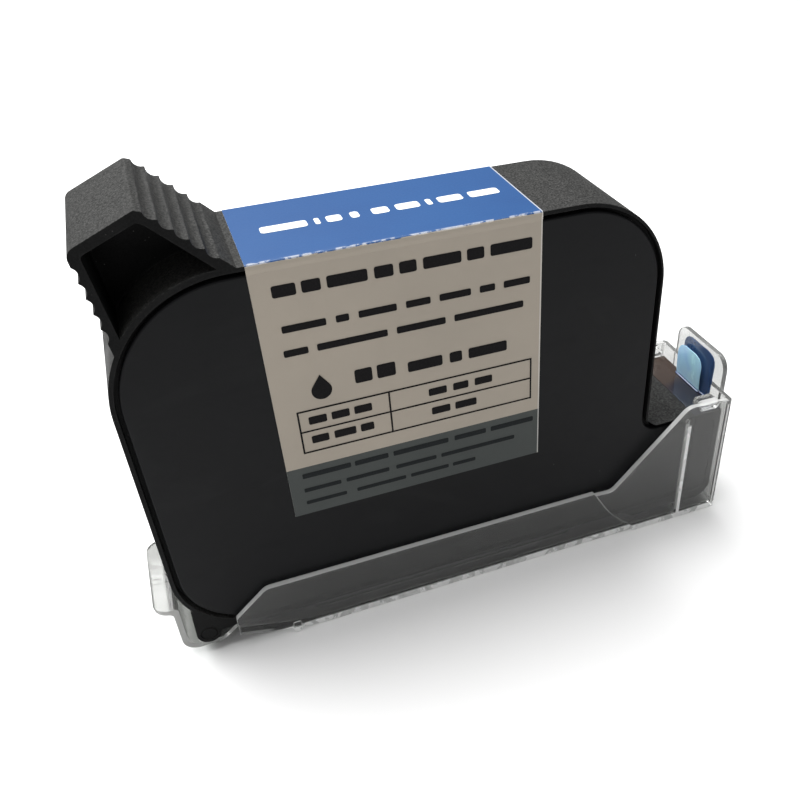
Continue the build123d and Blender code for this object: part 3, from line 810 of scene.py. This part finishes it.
def clearLook(name, haze, roughness, isLatch):
    s = clearFinish
    tint = s["latchColour"] if isLatch else s["colour"]
    look = newLook(name, tint, roughness, IOR=1.38)
    flow = grain(look, 130, 4, 0.5, (1, 1, 0.6), 2.5)
    # painted highlight: the corners are made milky white with less light passing, for the bright edges of
    # clear plastic
    corner = calc(look, "MULTIPLY", edgeWearAndHighlight(look, s["edgeReach"], 0.02, 0.25), s["cornerHighlight"])
    if isLatch:
        # the latch's side faces are painted milky white as bright edges
        cut = calc(look, "MULTIPLY", remap(look, absolute(look, facing(look, "Y")), 0.4, 0.6), 0.45)
        paintedLight = calc(look, "MAXIMUM", corner, cut)
        paint(look, "Base Color", over(look, paintedLight, tint, s["latchEdgeHighlight"]))
    else:
        paintedLight = calc(look, "MAXIMUM", corner, paintedStripAndRibs(look))
        walls, plate, meeting = cutFaces(look)
        # the wall rims and the meeting line are painted milky white as bright edges
        shares = [(walls, s["rimHighlight"]), (plate, s["plateShareShade"]), (meeting, s["meetingHighlight"])]
        for mask, share in shares:
            paintedLight = calc(look, "MAXIMUM", paintedLight, calc(look, "MULTIPLY", mask, share))
        base = over(look, paintedLight, tint, s["paintedWhite"])
        # the end plate's edges are painted grey as shade
        paint(look, "Base Color", over(look, plate, base, s["plateEdgeShade"]))
    paint(look, "Transmission Weight", remap(look, paintedLight, 0, 1, (1 - haze, s["leastPassing"])))
    smooth = remap(look, flow, 0.3, 0.7, (roughness - 0.02, roughness + 0.05))
    paint(look, "Roughness", calc(look, "ADD", smooth, calc(look, "MULTIPLY", paintedLight, s["paintedLightRough"])))
    scratches = grain(look, 2400, 2, 0.5, (0.06, 1, 1), 0.2)
    relief(look, [(flow, 0.35, 0.10 * mm), (scratches, 0.05, 0.01 * mm)])
    # a lamp's rays pass straight through, so that the clip's own shadow stays light
    lampRay = put(look, "ShaderNodeLightPath").outputs["Is Shadow Ray"]
    passing = put(look, "ShaderNodeBsdfTransparent", {"Color": (*s["lampColour"], 1)}).outputs["BSDF"]
    solid = look.node_tree.nodes["Principled BSDF"].outputs["BSDF"]
    mixed = put(look, "ShaderNodeMixShader", {0: lampRay, 1: solid, 2: passing}).outputs["Shader"]
    look.node_tree.links.new(mixed, look.node_tree.nodes["Material Output"].inputs["Surface"])
    return look


clipClear = clearLook("clearClip", clearFinish["haze"], 0.06, False)
latchClear = clearLook("clearLatch", clearFinish["latchHaze"], 0.10, True)
moulded("clip_shell", "clipShell", clipClear, "clip", clearFinish["edge"])
moulded("clip_latch", "clipLatch", latchClear, "latch", clearFinish["edge"])
print("clip made")

# The small hidden parts, each with its own finish.

hiddenParts = {
    "natural": (0.62, 0.60, 0.53),
    "rubber": (0.055, 0.056, 0.058),
    "steel": (0.60, 0.60, 0.59),
    "gold": (0.86, 0.60, 0.22),
    "silicon": (0.16, 0.165, 0.18),
    "copper": (0.42, 0.21, 0.07),
    "film": (0.30, 0.14, 0.045),
    "resin": (0.012, 0.011, 0.010),
    "foil": (0.52, 0.53, 0.54),
    "edge": 0.12 * mm,
    "padEdge": 0.25 * mm,
    "sealantEdge": 0.07 * mm,
    "leafEdge": 0.06 * mm,
    "leafKeep": 0.22,
    "wirePitch": 0.12 * mm,
    "tracePitch": 0.44 * mm,
    "traceStart": 20 * mm,
    "nozzlePitch": 0.17 * mm,
    "nozzleRow": 2.1 * mm,
    "nozzleRim": (0.055 * mm, 0.035 * mm),
}


def plainLook(name, light, dark, roughness, scale, depth, **sockets):
    look = newLook(name, light, roughness, **sockets)
    fine = grain(look, scale, 4, 0.6)
    cloud = grain(look, scale / 30, 4, 0.5)
    base = ramp(look, cloud, [(0.3, dark), (0.7, light)])
    paint(look, "Base Color", over(look, remap(look, fine, 0.5, 0.85, (0, 0.3)), base, dark))
    paint(look, "Roughness", remap(look, cloud, 0.3, 0.7, (roughness - 0.07, roughness + 0.09)))
    relief(look, [(cloud, 0.15, depth * 4), (fine, 0.25, depth)])
    return look


def shade(colour, by):
    return tuple(c * by for c in colour)


h = hiddenParts
naturalLook = plainLook("naturalPlastic", h["natural"], shade(h["natural"], 0.85), 0.45, 3000, 0.02 * mm)
rubberLook = plainLook("sealRubber", h["rubber"], shade(h["rubber"], 0.6), 0.72, 4200, 0.04 * mm)
steelLook = plainLook("springSteel", h["steel"], shade(h["steel"], 0.8), 0.28, 2400, 0.01 * mm,
                      Metallic=1.0)
goldLook = plainLook("contactGold", h["gold"], shade(h["gold"], 0.85), 0.22, 5200, 0.006 * mm,
                     Metallic=1.0)
siliconLook = plainLook("siliconDie", h["silicon"], shade(h["silicon"], 0.8), 0.18, 5200, 0.003 * mm,
                        Metallic=0.6)
resinLook = plainLook("blackSealant", h["resin"], shade(h["resin"], 0.7), 0.30, 2600, 0.02 * mm,
                      Coat_Weight=0.3)

moulded("inner_frame", "bagFrame", naturalLook, "cartridge", h["edge"])
moulded("filter_carrier", "filterCarrier", naturalLook, "cartridge", h["edge"])
moulded("clip_seal_pad", "sealPad", rubberLook, "clip", h["padEdge"], 3)
moulded("bond_sealant", "bondSealant", resinLook, "cartridge", h["sealantEdge"], 3)
moulded("near_pressure_plate", "nearPlate", steelLook, "near_plate", h["edge"])
moulded("far_pressure_plate", "farPlate", steelLook, "far_plate", h["edge"])

# The leaf that pushes the plates apart, with a mesh of its own.
leaf = moulded("bow_spring", "bowSpring", steelLook, "cartridge", h["leafEdge"])
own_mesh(leaf)

# The ink bag's two films: foil welded flat along its rim, crowned and finely wrinkled inside it.

bagFilm = {
    "corners": (9.2 * mm, 14.8 * mm, 11.8 * mm, 3.0 * mm),  # low left, high left, high right, low right
    "crown": 0.75 * mm,
    "wrinkle": 0.10 * mm,
    "keep": 0.06,
    "step": 2.2 * mm,
    "rings": 22,
    "crowding": 1.15,
}


def bagFilmLook():
    look = newLook("foilBagFilm", h["foil"], 0.22,
                   Specular_IOR_Level=0.5, Coat_Weight=0.3, Coat_Roughness=0.08)
    cloud = grain(look, 90, 4, 0.5, (1, 1, 1), 0.8)
    paint(look, "Base Color", ramp(look, cloud, [(0.3, shade(h["foil"], 0.88)), (0.7, h["foil"])]))
    paint(look, "Roughness", remap(look, cloud, 0.3, 0.7, (0.16, 0.30)))
    relief(look, [(cloud, 0.3, 0.3 * mm), (grain(look, 2600, 3, 0.5, (0.2, 1, 1)), 0.08, 0.01 * mm)])
    return look


def bagBorder(low, high, middle):
    corners = [(low.x, low.z), (low.x, high.z), (high.x, high.z), (high.x, low.z)]
    start = (middle.x, low.z)
    path = roundedPath([start, *corners, start], [0, *bagFilm["corners"], 0], 8)
    return densePath(path, bagFilm["step"])[:-1]


def wrinkleAt(flat, outward):
    coarse = noise.noise(Vector((flat.x * 90, flat.y * 210, outward)))
    return coarse + 0.5 * noise.noise(Vector((flat.x * 260, flat.y * 420, 3)))


def makeBagFilm(side, look):
    s = bagFilm
    node = side + "_bag_film"
    low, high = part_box(node)
    outward = -1 if side == "near" else 1
    rim = (low.y + high.y) / 2
    half = (high.y - low.y) / 2
    middle = Vector(((low.x + high.x) / 2, (low.z + high.z) / 2))
    border = bagBorder(low, high, middle)
    shape = bmesh.new()
    layers = []
    for face in (1, -1):
        grid = []
        for k in range(s["rings"]):
            share = 1 - (k / s["rings"]) ** s["crowding"]
            row = []
            for point in border:
                flat = middle + (point - middle) * share
                wrinkle = wrinkleAt(flat, outward)
                lift = (1 - share ** 3) * s["crown"] + (1 - share ** 6) * s["wrinkle"] * wrinkle
                row.append(shape.verts.new((flat.x, rim + outward * (lift + face * half), flat.y)))
            grid.append(row)
        tip = shape.verts.new((middle.x, rim + outward * (s["crown"] + face * half), middle.y))
        layers.append((grid, tip))
    count = len(border)
    for grid, tip in layers:
        for inner, outer in zip(grid[1:], grid):
            for j in range(count):
                shape.faces.new((outer[j - 1], outer[j], inner[j], inner[j - 1]))
        for j in range(count):
            shape.faces.new((grid[-1][j - 1], grid[-1][j], tip))
    front, back = [grid[0] for grid, tip in layers]
    for j in range(count):
        shape.faces.new((front[j - 1], back[j - 1], back[j], front[j]))
    film = finishMesh(shape, side + "BagFilm", [look], "cartridge", [node],
                      meshing["bagSharp"], False)
    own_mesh(film)


foilLook = bagFilmLook()
for side in ("near", "far"):
    makeBagFilm(side, foilLook)


# The CAD's own shapes that need a finish of their own and no new mesh.

def dress(node, look):
    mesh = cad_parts[node].data
    mesh.materials.clear()
    mesh.materials.append(look)


def stripes(look, value, pitch, low, high):
    # lines one pitch apart, from 0 at low to 1 at high, as shares of the pitch
    return remap(look, calc(look, "PINGPONG", value, pitch / 2), low * pitch, high * pitch)


def meshLook():
    look = newLook("wovenSteelMesh", h["steel"], 0.35, Metallic=1.0)
    warp = stripes(look, axisOf(look, "X"), h["wirePitch"], 0.05, 0.40)
    weft = stripes(look, axisOf(look, "Y"), h["wirePitch"], 0.05, 0.40)
    wires = calc(look, "MAXIMUM", warp, weft)
    paint(look, "Base Color", ramp(look, wires, [(0.2, shade(h["steel"], 0.08)), (0.6, h["steel"])]))
    paint(look, "Roughness", remap(look, grain(look, 2400), 0.3, 0.7, (0.28, 0.42)))
    relief(look, [(wires, 0.8, 0.04 * mm)])
    return look


def nozzleLook():
    # two rows of fine holes along the swath
    look = newLook("nozzleFilm", h["film"], 0.25, Coat_Weight=0.2)
    along = calc(look, "PINGPONG", axisOf(look, "X"), h["nozzlePitch"] / 2)
    across = absolute(look, calc(look, "SUBTRACT", absolute(look, axisOf(look, "Y")), h["nozzleRow"]))
    square = calc(look, "ADD", times(look, along, along), times(look, across, across))
    hole = remap(look, calc(look, "SQRT", square), *h["nozzleRim"])
    cloud = grain(look, 700, 3)
    base = ramp(look, cloud, [(0.3, shade(h["film"], 0.85)), (0.7, h["film"])])
    paint(look, "Base Color", over(look, hole, base, h["resin"]))
    paint(look, "Roughness", remap(look, cloud, 0.3, 0.7, (0.18, 0.32)))
    relief(look, [(hole, 0.6, -0.03 * mm), (grain(look, 3600, 2), 0.1, 0.005 * mm)])
    return look


def flexLook():
    # copper traces under amber film
    look = newLook("circuitFilm", h["film"], 0.25, Coat_Weight=0.3)
    # measured from outside the circuit, so that the lines run evenly through its middle
    across = calc(look, "ADD", axisOf(look, "Y"), h["traceStart"])
    traces = stripes(look, across, h["tracePitch"], 0.24, 0.30)
    cloud = grain(look, 500, 3)
    film = ramp(look, cloud, [(0.3, shade(h["film"], 0.8)), (0.7, h["film"])])
    paint(look, "Base Color", over(look, calc(look, "MULTIPLY", traces, 0.8), film, h["copper"]))
    paint(look, "Roughness", remap(look, cloud, 0.3, 0.7, (0.18, 0.32)))
    relief(look, [(traces, 0.5, 0.02 * mm)])
    return look


dress("filter_mesh", meshLook())
dress("fill_plug", steelLook)
dress("printhead_die", siliconLook)
dress("nozzle_plate", nozzleLook())
dress("flex_circuit", flexLook())
dress("contact_pads", goldLook)
print("small parts made")

# Camera, floor and lights.

studio = {
    "sensor": 36,
    "clip": (0.005, 20),
    "cameraPlace": (-0.03447, -0.11018, 0.11040),
    "cameraTurn": (52.705, 1.366, -21.568),
    "lens": 38.87,
    "shift": (-0.10, 0.05),
    "floorColour": (0.80, 0.80, 0.80),
    "floorRadius": 4,
    "floorDrop": 0.05 * mm,
    "sky": 0.30,
    "lampTarget": (0, 0, 0.03),
    "lamps": [  # name, place, size in metres, power in watts
        ("topSoftbox", (-0.14, 0.20, 0.60), 0.70, 10.5),
        ("frontFill", (-0.25, -0.62, 0.42), 0.50, 0.4),
    ],
}


def makeCamera():
    data = bpy.data.cameras.new("camera")
    data.sensor_fit = "HORIZONTAL"
    data.sensor_width = studio["sensor"]
    data.lens = studio["lens"]
    data.shift_x, data.shift_y = studio["shift"]
    data.clip_start, data.clip_end = studio["clip"]
    camera = bpy.data.objects.new("camera", data)
    camera.location = studio["cameraPlace"]
    camera.rotation_euler = Euler([math.radians(a) for a in studio["cameraTurn"]], "XYZ")
    bpy.context.scene.collection.objects.link(camera)
    bpy.context.scene.camera = camera


def makeFloor():
    pale = studio["floorColour"]
    look = newLook("paleFloor", pale, 0.9, Specular_IOR_Level=0.1)
    paint(look, "Base Color", ramp(look, grain(look, 12, 3), [(0.3, shade(pale, 0.99)), (0.7, pale)]))
    shape = bmesh.new()
    bmesh.ops.create_circle(shape, cap_ends=True, radius=studio["floorRadius"], segments=96)
    mesh = bpy.data.meshes.new("floor")
    shape.to_mesh(mesh)
    shape.free()
    mesh.materials.append(look)
    floor = bpy.data.objects.new("floor", mesh)
    floor.location.z = -studio["floorDrop"]
    bpy.context.scene.collection.objects.link(floor)


def makeLamps():
    for name, where, width, power in studio["lamps"]:
        data = bpy.data.lights.new(name, "AREA")
        data.shape = "DISK"
        data.size = width
        data.energy = power
        lamp = bpy.data.objects.new(name, data)
        lamp.location = where
        aim = Vector(studio["lampTarget"]) - Vector(where)
        lamp.rotation_euler = aim.to_track_quat("-Z", "Y").to_euler()
        bpy.context.scene.collection.objects.link(lamp)
    world = bpy.data.worlds.new("studioAir")
    world.use_nodes = True
    background = world.node_tree.nodes["Background"]
    background.inputs["Color"].default_value = (1, 1, 1, 1)
    background.inputs["Strength"].default_value = studio["sky"]
    bpy.context.scene.world = world


makeCamera()
makeFloor()
makeLamps()
bpy.context.scene.view_settings.view_transform = "Standard"
print("studio made")
